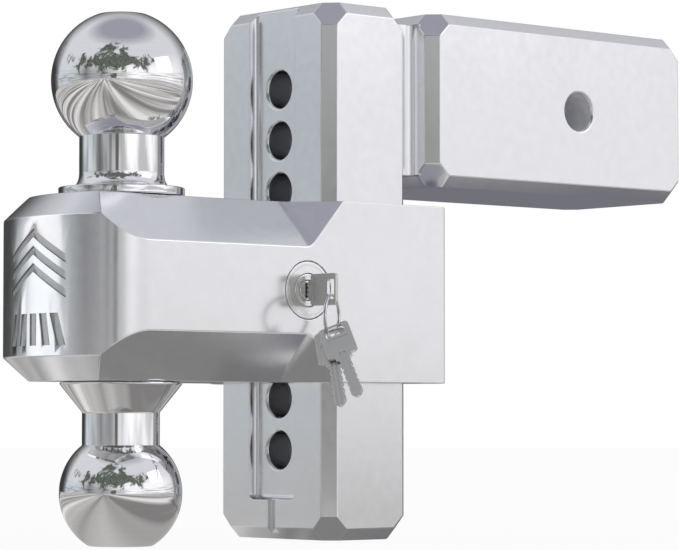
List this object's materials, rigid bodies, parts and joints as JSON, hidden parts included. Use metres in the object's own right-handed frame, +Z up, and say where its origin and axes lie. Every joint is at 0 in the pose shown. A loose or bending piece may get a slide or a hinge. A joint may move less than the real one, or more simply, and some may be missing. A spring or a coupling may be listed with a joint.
{
  "type": "trailer hitch",
  "caption": "Adjustable drop hitch: solid square shank on an upright bar with a row of holes, a key-locked sliding mount, and a ball above and below it.",
  "frame": {"origin": "centre of the hitch pin hole, on the shank's axis", "axes": "+X along the shank towards the towing vehicle, with the balls at -X; +Y to the side away from the lock; +Z up"},
  "size_m": [0.3427, 0.1328, 0.2296],
  "materials": {
    "aluminium": "milled and bead blasted, with bright cut edges",
    "chrome": "mirror polished chrome plate",
    "bright_steel": "turned or ground bright steel",
    "dark_steel": "black oxide steel",
    "nickel_plate": "nickel plated, stamped",
    "brass": "stamped"
  },
  "bodies": {
    "drawbar": {"drawbar": "aluminium"},
    "ball_mount": {"ball_mount": "aluminium", "large_ball": "chrome", "small_ball": "chrome", "lock_washer": "dark_steel", "pin_guide": "bright_steel", "guide_screw_1": "dark_steel", "guide_screw_2": "dark_steel", "guide_screw_3": "dark_steel", "guide_screw_4": "dark_steel", "lock_cartridge": "bright_steel", "lock_cylinder": "bright_steel", "cartridge_set_screw": "dark_steel"},
    "lock_plug": {"lock_plug": "bright_steel", "wafer_1": "brass", "wafer_2": "brass", "wafer_3": "brass", "wafer_4": "brass", "wafer_5": "brass", "drive_pinion": "bright_steel", "pinion_screw": "dark_steel"},
    "pin_carriage": {"rack_carriage": "bright_steel", "upper_locking_pin": "dark_steel", "lower_locking_pin": "dark_steel", "pin_screw_upper": "dark_steel", "pin_screw_lower": "dark_steel"},
    "lock_key": {"key_in_lock": "nickel_plate"},
    "key_ring": {"key_ring": "nickel_plate"},
    "spare_key_front": {"spare_key_front": "nickel_plate"},
    "spare_key_back": {"spare_key_back": "nickel_plate"}
  },
  "joints": [
    {"name": "height_adjust", "type": "slide", "parent": "drawbar", "child": "ball_mount", "axis": [0, 0, 1], "range_m": [-0.04445, 0.06667]},
    {"name": "lock_turn", "type": "hinge", "parent": "ball_mount", "child": "lock_plug", "pos_m": [-0.1649, 0, -0.08572], "axis": [0, 1, 0], "range_deg": [0, 90]},
    {"name": "pin_slide", "type": "slide", "parent": "ball_mount", "child": "pin_carriage", "axis": [1, 0, 0], "range_m": [0, 0.01]},
    {"name": "key_pull", "type": "slide", "parent": "lock_plug", "child": "lock_key", "axis": [0, -1, 0], "range_m": [0, 0.026]},
    {"name": "ring_swing", "type": "hinge", "parent": "lock_key", "child": "key_ring", "pos_m": [-0.1649, -0.05945, -0.08812], "axis": [-0.515, 0.8572, 0], "range_deg": [-30, 30]},
    {"name": "spare_front_swing", "type": "hinge", "parent": "key_ring", "child": "spare_key_front", "pos_m": [-0.16983, -0.06241, -0.10405], "axis": [0.7189, 0.4319, -0.5446], "range_deg": [-20, 20]},
    {"name": "spare_back_swing", "type": "hinge", "parent": "key_ring", "child": "spare_key_back", "pos_m": [-0.16832, -0.0615, -0.10519], "axis": [0.7189, 0.4319, -0.5446], "range_deg": [-20, 20]}
  ],
  "couplings": [
    {"joint": "lock_turn", "follows": "pin_slide", "rad_per_m": 157.05}
  ]
}
